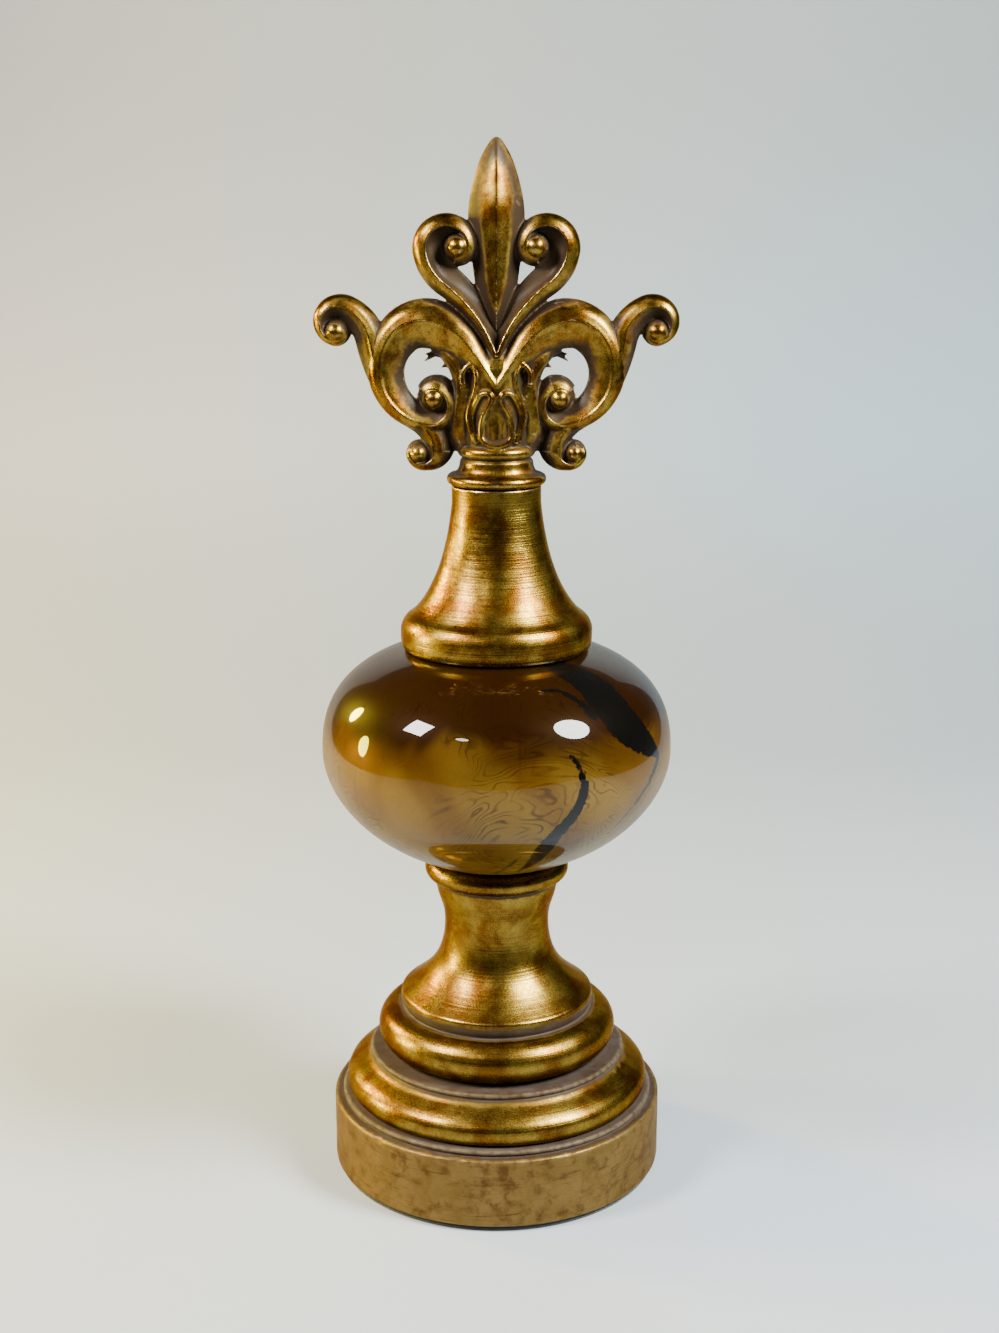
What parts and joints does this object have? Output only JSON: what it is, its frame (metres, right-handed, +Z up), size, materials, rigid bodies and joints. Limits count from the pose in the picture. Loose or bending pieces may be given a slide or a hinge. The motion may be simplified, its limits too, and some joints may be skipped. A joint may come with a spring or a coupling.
{
  "type": "tabletop finial",
  "caption": "Tabletop finial: turned pedestal and bell neck in antique gold, glazed amber ball between them, and an openwork scroll crown with a spear.",
  "frame": {"origin": "centre of the felt pad's underside", "axes": "+Z up along the turned axis, +X to the right seen from the front, front faces -Y"},
  "size_m": [0.1196, 0.1196, 0.3551],
  "materials": {
    "felt": "black pressed felt",
    "antique_gold": "antique gold leaf paint rubbed over dark brown",
    "glazed_amber": "clear gloss over marbled amber and bronze"
  },
  "bodies": {
    "root": {"felt_pad": "felt", "pedestal": "antique_gold", "ball": "glazed_amber", "bell": "antique_gold", "crown": "antique_gold"}
  },
  "joints": []
}
